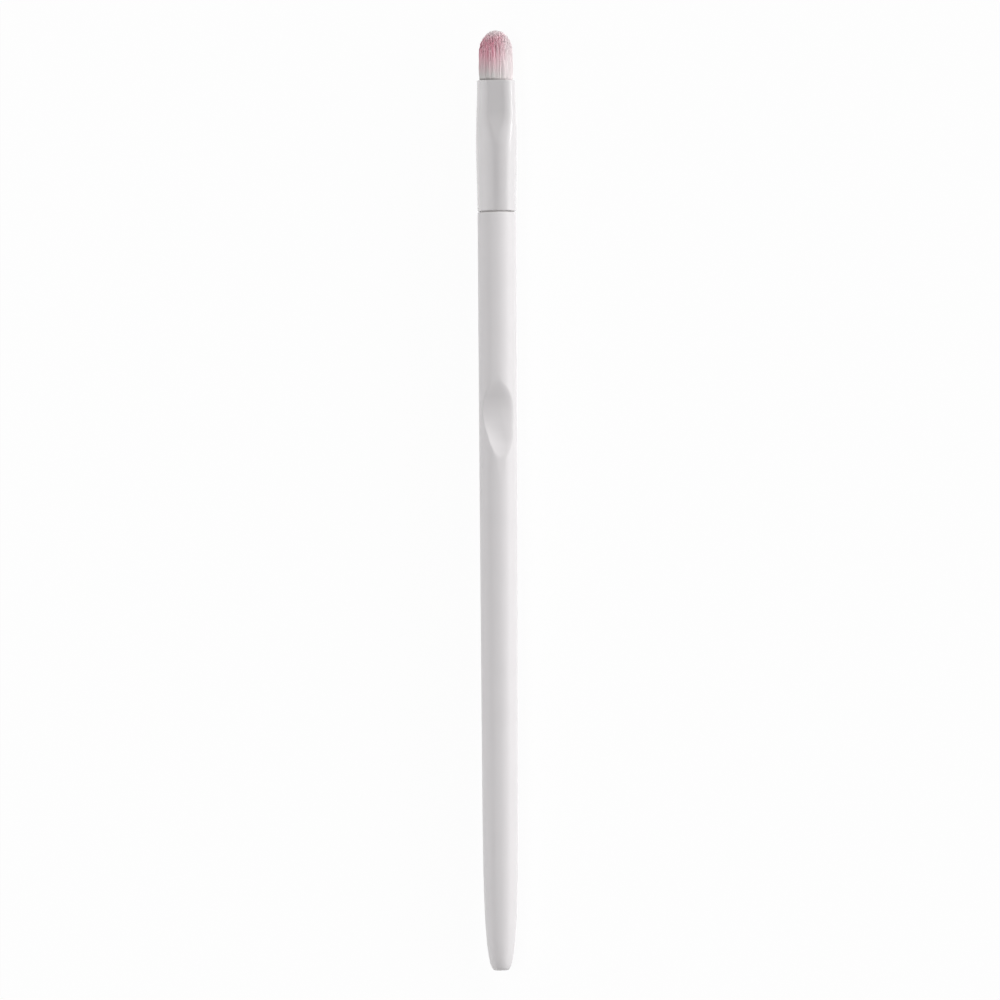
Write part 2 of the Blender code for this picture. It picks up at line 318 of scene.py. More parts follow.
@dataclass(frozen=True)
class LacqueredAluminium:
    """Drawn aluminium under white lacquer: glossier than the handle, with faint lines along the tube.

    Attributes:
        colour: The lightest of it.
        shaded_colour: The darkest, a shade off it.
        cloud_size: How far apart the two lie, in millimetres.
        roughness: How matte the lacquer's body is.
        roughness_spread: How much more or less matte it is along a line.
        line_pitch: How far apart the draw lines lie, in millimetres.
        line_length: How long they run, in millimetres.
        line_height: How high they stand.
        metal_share: How much of the metal shows through.
        coat: How strongly the lacquer's clear top shines.
        coat_roughness: How matte that top is.
    """

    colour: str = "#EAE7E8"
    shaded_colour: str = "#E3E0E1"
    cloud_size: float = 4.0
    roughness: float = 0.2
    roughness_spread: float = 0.03
    line_pitch: float = 0.14
    line_length: float = 9.0
    line_height: float = 0.00000025
    metal_share: float = 0.15
    coat: float = 0.7
    coat_roughness: float = 0.06

    def material(self) -> bpy.types.Material:
        """Builds the finish from stretched noise for the draw lines and broad noise for the lacquer."""
        material, tree, shader = new_material("white-lacquered drawn aluminium")
        place = add_node(tree, "ShaderNodeTexCoord").outputs["Object"]
        across, along = grain(self.line_pitch), grain(self.line_length)
        stretch = add_node(tree, "ShaderNodeMapping", {"Vector": place, "Scale": (across, along, across)})
        lines = add_node(
            tree, "ShaderNodeTexNoise", {"Vector": stretch.outputs["Vector"], "Scale": 1.0, "Detail": 1.0}
        )
        _, tone = clouded(tree, place, self.cloud_size, (self.shaded_colour, self.colour), 2.0)
        gloss = add_node(
            tree,
            "ShaderNodeMapRange",
            {
                "Value": lines.outputs["Fac"],
                "To Min": self.roughness - self.roughness_spread,
                "To Max": self.roughness + self.roughness_spread,
            },
        )
        bump = add_node(
            tree,
            "ShaderNodeBump",
            {"Height": lines.outputs["Fac"], "Distance": self.line_height, "Strength": 1.0},
        )
        tree.links.new(tone, shader.inputs["Base Color"])
        tree.links.new(gloss.outputs["Result"], shader.inputs["Roughness"])
        tree.links.new(bump.outputs["Normal"], shader.inputs["Normal"])
        shader.inputs["Metallic"].default_value = self.metal_share
        shader.inputs["Coat Weight"].default_value = self.coat
        shader.inputs["Coat Roughness"].default_value = self.coat_roughness
        return material


@dataclass(frozen=True)
class DippedFilament:
    """Tapered PBT filament with a satin sheen, off-white and dip-dyed pink, with painted shade at the mouth
    and painted light on the right and at the thin ends.

    Attributes:
        white: The undyed filament.
        pink: The lightest dyed hairs.
        deep_pink: The darkest dyed hairs.
        tip: The palest colour, which is the painted light on the right and the painted glow at the thin ends.
        mouth_shade: The grey of the roots at the mouth, a painted shade where the tuft meets the ferrule.
        dye_start: Where the dye begins along the brush.
        dye_end: Where it has its full depth.
        painted_light_start: How far to the left of the axis the painted light on the right side begins.
        painted_light_end: How far to the right that painted light is at its fullest.
        painted_light_share: How far the colour is paled there by the painted light.
        painted_glow_share: How far the colour is paled at the very ends, as a painted glow of light through
            them.
        mouth_shade_start: Where along the brush the painted shade on the roots starts to clear.
        mouth_shade_end: Where it has cleared.
        tip_start: Where the painted glow of the ends begins.
        tip_end: Where it is at its fullest.
        dye_waver: How much further the dye has crept up one hair than the next.
        roughness: How matte the filament is.
        roughness_spread: How much more or less matte one hair is than the next.
    """

    white: str = "#E6E2E1"
    pink: str = "#FFDDE5"
    deep_pink: str = "#E2839D"
    # The colour of the painted light on the right and the painted glow at the thin ends
    tip: str = "#FFF6F7"
    # Painted shade: the grey that the roots take at the mouth
    mouth_shade: str = "#948E8C"
    dye_start: float = 0.0750
    dye_end: float = 0.0788
    painted_light_start: float = -0.0006
    painted_light_end: float = 0.0024
    painted_light_share: float = 0.88
    painted_glow_share: float = 0.92
    mouth_shade_start: float = 0.0736
    mouth_shade_end: float = 0.0740
    tip_start: float = 0.0800
    tip_end: float = 0.0826
    dye_waver: float = 0.0012
    roughness: float = 0.4
    roughness_spread: float = 0.08

    def material(self, tint_name: str) -> bpy.types.Material:
        """Builds the finish from the height along the brush and each filament's own number.

        Args:
            tint_name: The mesh attribute that holds each filament's number, from 0 to 1.

        Returns:
            The material.
        """
        material, tree, shader = new_material("dip-dyed PBT filament")
        place = add_node(tree, "ShaderNodeTexCoord").outputs["Object"]
        spot = add_node(tree, "ShaderNodeSeparateXYZ", {"Vector": place}).outputs
        along = spot["Y"]
        tint = add_node(tree, "ShaderNodeAttribute", attribute_name=tint_name).outputs["Fac"]
        level = add_node(
            tree, "ShaderNodeMath", {0: tint, 1: self.dye_waver, 2: along}, operation="MULTIPLY_ADD"
        ).outputs["Value"]
        depth = add_node(
            tree, "ShaderNodeMapRange", {"Value": level, "From Min": self.dye_start, "From Max": self.dye_end}
        )
        # Painted light: the colour pales towards the right side of the tuft, where the light falls
        side = add_node(
            tree,
            "ShaderNodeMapRange",
            {
                "Value": spot["X"],
                "From Min": self.painted_light_start,
                "From Max": self.painted_light_end,
                "To Max": self.painted_light_share,
            },
            interpolation_type="SMOOTHSTEP",
        )
        # Painted glow: the colour pales towards the thin ends, in place of light shining through them
        end = add_node(
            tree,
            "ShaderNodeMapRange",
            {
                "Value": along,
                "From Min": self.tip_start,
                "From Max": self.tip_end,
                "To Max": self.painted_glow_share,
            },
            interpolation_type="SMOOTHSTEP",
        )
        fade = add_node(
            tree, "ShaderNodeMath", {0: side.outputs["Result"], 1: end.outputs["Result"]}, operation="MAXIMUM"
        )
        shades = add_node(
            tree,
            "ShaderNodeMix",
            {0: tint, 6: linear(self.deep_pink), 7: linear(self.pink)},
            data_type="RGBA",
        )
        dyed = add_node(
            tree,
            "ShaderNodeMix",
            {0: depth.outputs["Result"], 6: linear(self.white), 7: shades.outputs[2]},
            data_type="RGBA",
        )
        # Painted shade: the roots turn grey at the mouth, where the tuft meets the ferrule's lip
        shade_clear = add_node(
            tree, "ShaderNodeMapRange", {"Value": along, "From Min": self.mouth_shade_start, "From Max": self.mouth_shade_end}
        )
        mouth_shaded = add_node(
            tree,
            "ShaderNodeMix",
            {0: shade_clear.outputs["Result"], 6: linear(self.mouth_shade), 7: dyed.outputs[2]},
            data_type="RGBA",
        )
        # The painted light on the right and the painted glow at the ends pale the colour towards the tip
        # colour
        colour = add_node(
            tree,
            "ShaderNodeMix",
            {0: fade.outputs["Value"], 6: mouth_shaded.outputs[2], 7: linear(self.tip)},
            data_type="RGBA",
        )
        gloss = add_node(
            tree,
            "ShaderNodeMapRange",
            {
                "Value": tint,
                "To Min": self.roughness - self.roughness_spread,
                "To Max": self.roughness + self.roughness_spread,
            },
        )
        tree.links.new(colour.outputs[2], shader.inputs["Base Color"])
        tree.links.new(gloss.outputs["Result"], shader.inputs["Roughness"])
        shader.inputs["IOR"].default_value = PLASTIC_IOR
        return material


@dataclass(frozen=True)
class CastResin:
    """A cast adhesive, set hard: clear or milky, with small bubbles and a slightly uneven surface.

    Attributes:
        name: What it is called.
        colour: The adhesive.
        bubble_colour: Its bubbles.
        roughness: How matte it is.
        bubble_size: The bubbles' pitch in millimetres.
        bubble_reach: How much of that a bubble's shade takes up.
        ripple_size: The surface's unevenness, in millimetres.
        ripple_height: How high it stands.
    """

    name: str
    colour: str
    bubble_colour: str
    roughness: float
    bubble_size: float
    bubble_reach: float = 0.3
    ripple_size: float = 0.6
    ripple_height: float = 0.00001

    def material(self) -> bpy.types.Material:
        """Builds the finish from cells for the bubbles and noise for the surface."""
        material, tree, shader = new_material(self.name)
        place = add_node(tree, "ShaderNodeTexCoord").outputs["Object"]
        cells = add_node(tree, "ShaderNodeTexVoronoi", {"Vector": place, "Scale": grain(self.bubble_size)})
        bubbles = add_node(
            tree, "ShaderNodeMapRange", {"Value": cells.outputs["Distance"], "From Max": self.bubble_reach}
        )
        ripple = add_node(
            tree, "ShaderNodeTexNoise", {"Vector": place, "Scale": grain(self.ripple_size), "Detail": 2.0}
        )
        tone = add_node(
            tree,
            "ShaderNodeMix",
            {0: bubbles.outputs["Result"], 6: linear(self.bubble_colour), 7: linear(self.colour)},
            data_type="RGBA",
        )
        bump = add_node(
            tree,
            "ShaderNodeBump",
            {"Height": ripple.outputs["Fac"], "Distance": self.ripple_height, "Strength": 0.6},
        )
        tree.links.new(tone.outputs[2], shader.inputs["Base Color"])
        tree.links.new(bump.outputs["Normal"], shader.inputs["Normal"])
        shader.inputs["Roughness"].default_value = self.roughness
        return material


@dataclass(frozen=True)
class ThumbScoop:
    """The leaf-shaped thumb scoop in the front of the shaft, which turns round the shaft as it runs down it.

    Attributes:
        top: Depth of its upper end.
        length: How far it runs down the shaft.
        sink: How far the floor lies under the shaft's surface at its deepest.
        sink_shares: That depth at even steps along the scoop, as shares of the deepest.
        trough_radius: Radius of the hollow across the lower part.
        hollow_span: Shares of the length between which the flat upper floor becomes that hollow.
        least_hollow: How hollow the flat floor counts as, so that its radius stays a number.
        upper_turn: The angle that the upper part faces.
        lower_turn: The angle that the lower part faces.
        turn_span: Shares of the length between which the one passes into the other.
        crease_rounding: Width over which the moulded edge is rounded on the left and at the lower end.
        roll_shares: Width over which the floor rolls out into the shaft on the right, at the top and the
            bottom, as shares of the depth there.
        roll_angle: How far to the side that roll reaches its full width.
        end_rise: How steeply the floor rises out of the shaft past each end.
        drift: Length over which the mesh's lines settle back to straight past each end.
        ring_pitch: Distance between the rings that carry the cut.
        end_gap: Distance from an end to the first wider ring past it.
        end_pitch: Distance between those wider rings.
        crease_line: The angle of the mesh's line that follows the cut's edge.
        least_opening: How close to the cut's middle that line may come.
        line_crowding: How closely the other lines crowd towards it.
    """

    top: float = 0.0286
    length: float = 0.0174
    sink: float = 0.0012
    sink_shares: tuple[float, ...] = (
        *(-0.05, 0.11, 0.41, 0.76, 0.97, 1.0, 0.92),
        *(0.84, 0.7, 0.38, 0.07, 0.012, -0.05),
    )
    trough_radius: float = 0.0110
    hollow_span: tuple[float, float] = (0.45, 0.65)
    least_hollow: float = 0.03
    upper_turn: float = math.radians(-4.5)
    lower_turn: float = math.radians(10.0)
    turn_span: tuple[float, float] = (0.34, 0.72)
    crease_rounding: float = 0.00013
    roll_shares: tuple[float, float] = (1.87, 0.28)
    roll_angle: float = math.radians(45.0)
    end_rise: float = 0.3
    drift: float = 0.0045
    ring_pitch: float = 0.0001
    end_gap: float = 0.0003
    end_pitch: float = 0.0005
    crease_line: float = math.pi / 3.0
    least_opening: float = math.radians(24.0)
    line_crowding: float = 1.5

    def ends(self) -> tuple[float, float]:
        """Depths of the upper and lower ends."""
        return self.top, self.top + self.length

    def share(self, depth: float) -> float:
        """How far along the scoop a depth is."""
        return min(max((depth - self.top) / self.length, 0.0), 1.0)

    def passed(self, depth: float, span: tuple[float, float]) -> float:
        """How far a change has gone at a depth that runs over a span of the scoop's length."""
        return eased((self.share(depth) - span[0]) / (span[1] - span[0]))

    def ring_depths(self) -> list[float]:
        """Depths of the close rings that carry the cut, and of the wider ones past its ends."""
        upper, lower = self.ends()
        close = np.arange(upper, lower, self.ring_pitch)
        spread = np.arange(self.end_gap, self.drift, self.end_pitch)
        return sorted([*(upper - spread), *close, *(lower + spread)])

    def hold(self, depth: float) -> float:
        """How fully the mesh's lines follow the cut at a depth: 1 along it, easing off to 0 past its ends."""
        upper, lower = self.ends()
        return eased(1.0 - max(upper - depth, depth - lower, 0.0) / self.drift)

    def sunk(self, depth: float) -> float:
        """How far the floor lies under the shaft's surface, which is less than nothing past the ends."""
        upper, lower = self.ends()
        past = max(upper - depth, depth - lower, 0.0)
        return self.sink * smoothed(self.sink_shares, self.share(depth)) - self.end_rise * past

    def section(self, depth: float, shaft_radius: float) -> tuple[float, float, float]:
        """The cut's section at a depth.

        Args:
            depth: Depth of the section.
            shaft_radius: The shaft's radius there.

        Returns:
            The angle that the cut faces, the distance of its floor from the axis, and its hollow's radius.
        """
        turn = between(self.upper_turn, self.lower_turn, self.passed(depth, self.turn_span))
        hollow = self.trough_radius / max(self.least_hollow, self.passed(depth, self.hollow_span))
        return turn, shaft_radius - self.sunk(depth), hollow

    def opening(self, floor: float, radius: float, hollow: float) -> float:
        """Half the angle that the cut takes out of the shaft's outline."""
        centre = floor + hollow
        cosine = (centre * centre + radius * radius - hollow * hollow) / (2.0 * centre * radius)
        return math.acos(min(max(cosine, -1.0), 1.0))

    def trough(self, floor: float, angle: float, hollow: float) -> float:
        """Distance of the hollow from the axis at an angle from the way that it faces."""
        centre = floor + hollow
        inside = hollow * hollow - (centre * math.sin(angle)) ** 2
        if inside <= 0.0 or math.cos(angle) <= 0.0:
            return centre
        return centre * math.cos(angle) - math.sqrt(inside)

    def rounding(self, angle: float, depth: float) -> float:
        """How broadly the cut's edge is rounded at an angle from the way that the cut faces.

        Args:
            angle: The angle, which is less than zero on the cut's left.
            depth: The point's depth.

        Returns:
            The width of the rounding.
        """
        upper, lower = self.roll_shares
        roll = between(upper, lower, self.share(depth)) * self.sunk(depth)
        side = eased((angle / self.roll_angle + 1.0) / 2.0)
        return between(self.crease_rounding, max(self.crease_rounding, roll), side)

    def carve(self, angle: float, radius: float, depth: float, cad_radius: float) -> tuple[float, float]:
        """Moves a point of the plain shaft onto the scooped one.

        Args:
            angle: The point's angle round the shaft.
            radius: The plain shaft's radius.
            depth: The point's depth.
            cad_radius: The CAD shaft's radius, which the cut is measured from.

        Returns:
            The point's new angle and radius.
        """
        turn, floor, hollow = self.section(depth, cad_radius)
        opening = max(self.opening(floor, radius, hollow), self.least_opening)
        size = abs(angle)
        if size <= self.crease_line:
            inner = 1.0 - (1.0 - size / self.crease_line) ** self.line_crowding
            led = opening * inner
        else:
            outer = ((size - self.crease_line) / (math.pi - self.crease_line)) ** self.line_crowding
            led = between(opening, math.pi, outer)
        hold = self.hold(depth)
        drifted = math.copysign(between(size, led, hold), angle) + turn * hold
        rounding = self.rounding(drifted - turn, depth)
        return drifted, smooth_least(radius, self.trough(floor, drifted - turn, hollow), rounding)


@dataclass(frozen=True)
class Handle:
    """The moulded handle: tenon, shoulder, tapered shaft with its thumb scoop, and rounded tail.

    Attributes:
        axis: The line that it is turned round.
        scoop: Its thumb scoop.
        finish: What it is made of.
        length: From the shoulder to the butt.
        shoulder_radius: Its radius at the seam.
        shoulder_rounding: The rounding of the edge there.
        taper: How much of its radius the shaft loses on the way to the butt.
        taper_power: How late along the shaft it loses it.
        tail_length: The length that rounds in to the butt.
        tail_roundness: How late along the tail it rounds in.
        tail_power: How bluntly it ends.
        butt_radius: The flat at the end.
        tenon_radius: The tenon inside the ferrule.
        tenon_length: How far it reaches in.
        tenon_chamfer: The chamfer at its end.
        sides: How many sides the round has.
        first_ring: Depth of the shaft's first ring.
        ring_pitch: Distance between its rings.
        tail_rings: How many rings the tail has.
        rounding_points: How many points the shoulder's rounding has.
    """

    axis: BrushAxis
    scoop: ThumbScoop
    finish: MouldedPlastic
    length: float = 0.1330
    shoulder_radius: float = 0.00337
    shoulder_rounding: float = 0.00022
    taper: float = 0.00036
    taper_power: float = 1.6
    tail_length: float = 0.0370
    tail_roundness: float = 4.0
    tail_power: float = 0.4
    butt_radius: float = 0.00105
    tenon_radius: float = 0.00276
    tenon_length: float = 0.0090
    tenon_chamfer: float = 0.0005
    sides: int = 192
    first_ring: float = 0.0015
    ring_pitch: float = 0.0025
    tail_rings: int = 64
    rounding_points: int = 7

    def cad_radius(self, depth: float) -> float:
        """The CAD shaft's radius at a depth."""
        taper = self.shoulder_radius - self.taper * (depth / self.length) ** self.taper_power
        tail = max(0.0, 1.0 - (self.length - depth) / self.tail_length)
        swell = max(0.0, 1.0 - tail**self.tail_roundness) ** self.tail_power
        return between(self.butt_radius, taper, swell)

    def profile(self) -> list[tuple[float, float]]:
        """Radii and depths from the tenon's end to the middle of the butt."""
        tenon = self.tenon_radius * FLAT_SHARE
        shoulder = self.cad_radius(0.0) * FLAT_SHARE
        rounding = self.shoulder_rounding
        points = [
            (0.0, -self.tenon_length),
            (tenon - self.tenon_chamfer, -self.tenon_length),
            (tenon, -self.tenon_length + self.tenon_chamfer),
            (tenon, 0.0),
        ]
        for turn in np.linspace(0.0, math.pi / 2.0, self.rounding_points):
            points.append((shoulder - rounding * (1.0 - math.sin(turn)), rounding * (1.0 - math.cos(turn))))
        tail_start = self.length - self.tail_length
        upper, lower = self.scoop.ends()
        upper, lower = upper - self.scoop.drift, lower + self.scoop.drift
        shaft = np.arange(self.first_ring, tail_start, self.ring_pitch)
        plain = [depth for depth in shaft if not upper < depth < lower]
        tail = tail_start + self.tail_length * np.sin(np.linspace(0.0, math.pi / 2.0, self.tail_rings))
        for depth in sorted([*plain, upper, *self.scoop.ring_depths(), lower, *tail]):
            points.append((self.cad_radius(float(depth)) * FLAT_SHARE, float(depth)))
        points.append((0.0, self.length))
        return points

    def build(self) -> list[bpy.types.Object]:
        """Turns the profile, carves the scoop into it and dresses the piece.

        Returns:
            The piece that stands for the CAD's handle.
        """
        shape = self.axis.turn(self.profile(), self.sides, Layout.OPEN)
        upper, lower = self.scoop.ends()
        for vert in shape.verts:
            angle, radius, depth = self.axis.measure(vert.co)
            if upper - self.scoop.drift < depth < lower + self.scoop.drift:
                angle, radius = self.scoop.carve(angle, radius, depth, self.cad_radius(depth))
                vert.co = self.axis.point(angle, radius, depth)
        piece = finished(shape, "handle_moulding")
        dress(piece, self.finish.material())
        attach(piece, "root")
        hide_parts("handle")
        return [piece]


@dataclass(frozen=True)
class Ferrule:
    """The lacquered tube, round at its base and pressed to flats front and back at its mouth.

    Attributes:
        axis: The line through its middle.
        finish: What it is made of.
        length: From the mouth to the base.
        wall: How thick the tube is.
        seam_gap: The gap between its base and the handle's shoulder.
        base_radius: Its radius at the base.
        belly_radius: Its radius where it is widest.
        belly_share: How far from the mouth that is, as a share of the length.
        mouth_half_width: Half the mouth's width.
        mouth_half_thickness: Half its thickness.
        mouth_corner_radius: Radius of its four corners.
        flat_length: How far from the mouth the flats keep their full form.
        fade_length: Length over which the corners then grow until the faces are round.
        flare_length: Length over which the thickness grows to the width.
        sides: How many sides the round has.
        first_ring: Distance from the mouth to the first ring past the lip.
        flare_pitch: Distance between the rings of the pressed part.
        body_pitch: Distance between those of the round part.
        rim_points: How many points each rim's rounding has.
    """

    axis: BrushAxis
    finish: LacqueredAluminium
    length: float = 0.02293
    wall: float = 0.00025
    seam_gap: float = 0.00017
    base_radius: float = 0.00342
    belly_radius: float = 0.0036
    belly_share: float = 0.48
    mouth_half_width: float = 0.00335
    mouth_half_thickness: float = 0.0025
    mouth_corner_radius: float = 0.0022
    flat_length: float = 0.0056
    fade_length: float = 0.0028
    flare_length: float = 0.0060
    sides: int = 192
    first_ring: float = 0.0004
    flare_pitch: float = 0.0002
    body_pitch: float = 0.0006
    rim_points: int = 9

    @property
    def mouth_depth(self) -> float:
        """The mouth's depth on the brush's axis, which is less than zero."""
        return -self.seam_gap - self.length

    def half_width(self, reach: float) -> float:
        """Half the CAD tube's width at a distance from its mouth."""
        belly = self.belly_share * self.length
        if reach < belly:
            return between(self.mouth_half_width, self.belly_radius, eased(reach / belly))
        return between(self.belly_radius, self.base_radius, eased((reach - belly) / (self.length - belly)))

    def section(self, reach: float, inset: float) -> tuple[float, float, float]:
        """The pressed section, which has straight faces between four round corners.

        Args:
            reach: Distance from the mouth.
            inset: How far inside the outer surface.

        Returns:
            Half the length of its front face, half that of its side faces and the radius of its corners.
        """
        width = self.half_width(reach)
        past_flat = reach - self.flat_length
        thickness = between(self.mouth_half_thickness, width, eased(past_flat / self.flare_length))
        fade = eased(past_flat / self.fade_length)
        corner = between(self.mouth_corner_radius, min(width, thickness), fade)
        return width - corner, thickness - corner, corner * FLAT_SHARE - inset

    def outline(self, reach: float, inset: float, angle: float) -> tuple[float, float]:
        """A point of the pressed section.

        Args:
            reach: Distance from the mouth.
            inset: How far inside the outer surface.
            angle: The point's angle on the round tube, before it is pressed.

        Returns:
            How far the point lies to the side of the axis and over it.
        """
        front, side, radius = self.section(reach, inset)
        quarter = front + side + math.pi / 2.0 * radius
        way = abs(angle) / math.pi * 2.0 * quarter
        folded = min(way, 2.0 * quarter - way)
        bend = min(max((folded - front) / radius, 0.0), math.pi / 2.0)
        across = min(folded, front) + radius * math.sin(bend)
        rise = min(quarter - folded, side) + radius * math.cos(bend)
        return math.copysign(across, angle), math.copysign(rise, quarter - way)

    def profile(self) -> list[tuple[float, float]]:
        """Insets from the outer surface and distances from the mouth, once round the wall's section."""
        half = self.wall / 2.0
        flare_end = self.flat_length + self.flare_length
        reaches = [*np.arange(self.first_ring, flare_end, self.flare_pitch)]
        reaches += [*np.arange(flare_end, self.length - half, self.body_pitch)]
        turns = np.linspace(0.0, math.pi, self.rim_points)
        lip = [(half * (1.0 - math.cos(turn)), half * (1.0 - math.sin(turn))) for turn in turns]
        base = [(inset, self.length - reach) for inset, reach in lip]
        outer = [(0.0, float(reach)) for reach in reaches]
        inner = [(self.wall, float(reach)) for reach in reaches]
        return lip + inner + list(reversed(base)) + list(reversed(outer))

    def build(self) -> list[bpy.types.Object]:
        """Turns a round tube, presses it to its sections and dresses it.

        Returns:
            The piece that stands for the CAD's ferrule.
        """
        profile = [(self.base_radius - inset, self.mouth_depth + reach) for inset, reach in self.profile()]
        shape = self.axis.turn(profile, self.sides, Layout.RING)
        for vert in shape.verts:
            angle, radius, depth = self.axis.measure(vert.co)
            across, rise = self.outline(depth - self.mouth_depth, self.base_radius - radius, angle)
            vert.co.x, vert.co.z = across, self.axis.height + rise
        piece = finished(shape, "ferrule_tube")
        dress(piece, self.finish.material())
        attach(piece, "root")
        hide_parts("ferrule")
        return [piece]


@dataclass(frozen=True)
class Tuft:
    """The round-ended tuft of fine filaments, with the top slice of the resin that they stand in.

    Attributes:
        axis: The line through its middle.
        ferrule: The tube that holds it.
        finish: What the filaments are made of.
        resin: What they stand in.
        length: How far the tip stands out of the mouth.
        dome: How far back from the tip the filaments at the two sides end.
        face_drop: How far back the filaments at the front and back end.
        resin_depth: How far inside the mouth the resin's surface lies.
        slice_thickness: How thick the slice of resin is.
        root_share: How far into the slice the roots go, as a share of its thickness.
        clearance: The gap between the slice and the ferrule's wall.
        pitch: Distance between neighbouring roots.
        scatter: How far each root strays from its place, as a share of the pitch.
        root_radius: A filament's radius at its root.
        tip_share: What is left of that radius at its end.
        taper_power: How late along the filament it thins.
        width_closing: Share of its width that the tuft has lost at the tip.
        thickness_closing: Share of its thickness that it has lost there.
        closing_power: How late along the tuft it loses them.
        crown: How much further its sides close up than its middle, which leaves its faces bulged.
        crown_length: How far past the roots that closing is complete, and past the mouth the straying.
        nose_length: How far back from the tip the faces start to round in over it.
        nose_closing: How far they round in, where 1 would bring them together.
        clump_pitch: Distance between the middles of the clumps.
        clump_pull: How far each filament is drawn to the middle of its clump at its end.
        gather_power: How close to the end the clumps gather, where more is closer.
        clump_raggedness: How unevenly the clumps end on the front and back.
        clump_lean: How far a clump leans to one side at the tip.
        hair_lean: How far a filament leans out of its clump there.
        clump_tint_share: How much of a filament's own number it shares with its clump.
        wander: How far each filament strays to one side and the other of its course.
        wander_length: How far along it comes back to the same side.
        pinch: Share of its size by which the tuft is drawn in at the mouth.
        swell_length: How far past the mouth it has swelled out again.
        raggedness: How unevenly the filaments end.
        face_raggedness: How much more unevenly they end on the front and back than at the sides.
        cuts: Where a filament can bend, as shares of its length.
        slice_sides: How many sides the slice of resin has.
        seed: The start of the random draws.
        tint_name: The mesh attribute that holds each filament's number.
    """

    axis: BrushAxis
    ferrule: Ferrule
    finish: DippedFilament
    resin: CastResin
    length: float = 0.0089
    dome: float = 0.0046
    face_drop: float = 0.0042
    resin_depth: float = 0.0024
    slice_thickness: float = 0.0008
    root_share: float = 0.6
    clearance: float = 0.00008
    pitch: float = 0.00009
    scatter: float = 0.18
    root_radius: float = 0.00008
    tip_share: float = 0.55
    taper_power: float = 14.0
    width_closing: float = 0.035
    thickness_closing: float = 0.3
    closing_power: float = 1.2
    crown: float = 0.5
    crown_length: float = 0.0045
    nose_length: float = 0.0030
    nose_closing: float = 0.3
    clump_pitch: float = 0.0003
    clump_pull: float = 0.7
    gather_power: float = 4.0
    clump_raggedness: float = 0.0005
    clump_lean: float = 0.00002
    hair_lean: float = 0.000015
    clump_tint_share: float = 0.55
    wander: float = 0.00003
    wander_length: float = 0.0036
    pinch: float = 0.07
    swell_length: float = 0.0016
    raggedness: float = 0.0003
    face_raggedness: float = 0.0004
    cuts: tuple[float, ...] = (0.14, 0.3, 0.46, 0.62, 0.76, 0.88, 0.96)
    slice_sides: int = 96
    seed: int = 11
    tint_name: str = "filament_tint"

    def roots(self, pitch: float, dice: np.random.Generator) -> np.ndarray:
        """Scattered places on a honeycomb that fills the section of the ferrule's bore.

        Args:
            pitch: Distance between neighbours.
            dice: Source of the scatter.

        Returns:
            One row for each place: how far it lies to the side of the axis and over it.
        """
        inset = self.ferrule.wall + self.clearance / 2.0 + self.root_radius
        front, side, radius = self.ferrule.section(self.resin_depth, inset)
        row_pitch = pitch * math.sqrt(3.0) / 2.0
        rows = math.ceil((side + radius) / row_pitch)
        columns = math.ceil((front + radius) / pitch) + 1
        places = []
        for row in range(-rows, rows + 1):
            for column in range(-columns, columns + 1):
                across = (column + 0.5 * (row % 2)) * pitch
                jolt = dice.uniform(-self.scatter, self.scatter, 2) * pitch
                spot = np.array((across, row * row_pitch)) + jolt
                if math.hypot(max(abs(spot[0]) - front, 0.0), max(abs(spot[1]) - side, 0.0)) <= radius:
                    places.append(spot)
        return np.array(places)

    def strand(self) -> bmesh.types.BMesh:
        """One three-sided filament of unit radius and length, cut into lengths that can bend."""
        shape = bmesh.new()
        bmesh.ops.create_cone(
            shape, cap_ends=True, cap_tris=True, segments=3, radius1=1.0, radius2=1.0, depth=1.0
        )
        bmesh.ops.translate(shape, verts=shape.verts, vec=(0.0, 0.0, 0.5))
        for cut in self.cuts:
            everything = shape.verts[:] + shape.edges[:] + shape.faces[:]
            bmesh.ops.bisect_plane(shape, geom=everything, plane_co=(0.0, 0.0, cut), plane_no=(0.0, 0.0, 1.0))
        return shape

    def off_middle(self, roots: np.ndarray) -> tuple[np.ndarray, np.ndarray]:
        """How far each root lies off the middle, across the width and through the thickness, from -1 to 1."""
        front, side, radius = self.ferrule.section(self.resin_depth, self.ferrule.wall)
        return np.clip(roots[:, 0] / (front + radius), -1.0, 1.0), roots[:, 1] / (side + radius)

    def drops(
        self, roots: np.ndarray, clump: np.ndarray, clump_count: int, dice: np.random.Generator
    ) -> np.ndarray:
        """How far short of the tip each filament ends.

        Args:
            roots: Where the filaments stand.
            clump: The number of each one's clump.
            clump_count: How many clumps there are.
            dice: Source of the uneven ends.

        Returns:
            One length for each filament.
        """
        flank, face = self.off_middle(roots)
        drop = self.dome * (1.0 - np.sqrt(1.0 - flank * flank))
        drop += self.face_drop * (1.0 - np.sqrt(1.0 - np.clip(face * face, 0.0, 1.0)))
        drop += np.abs(dice.normal(0.0, 1.0, len(roots))) * (
            self.raggedness + self.face_raggedness * face * face
        )
        drop += dice.random(clump_count)[clump] * self.clump_raggedness * face * face
        return drop

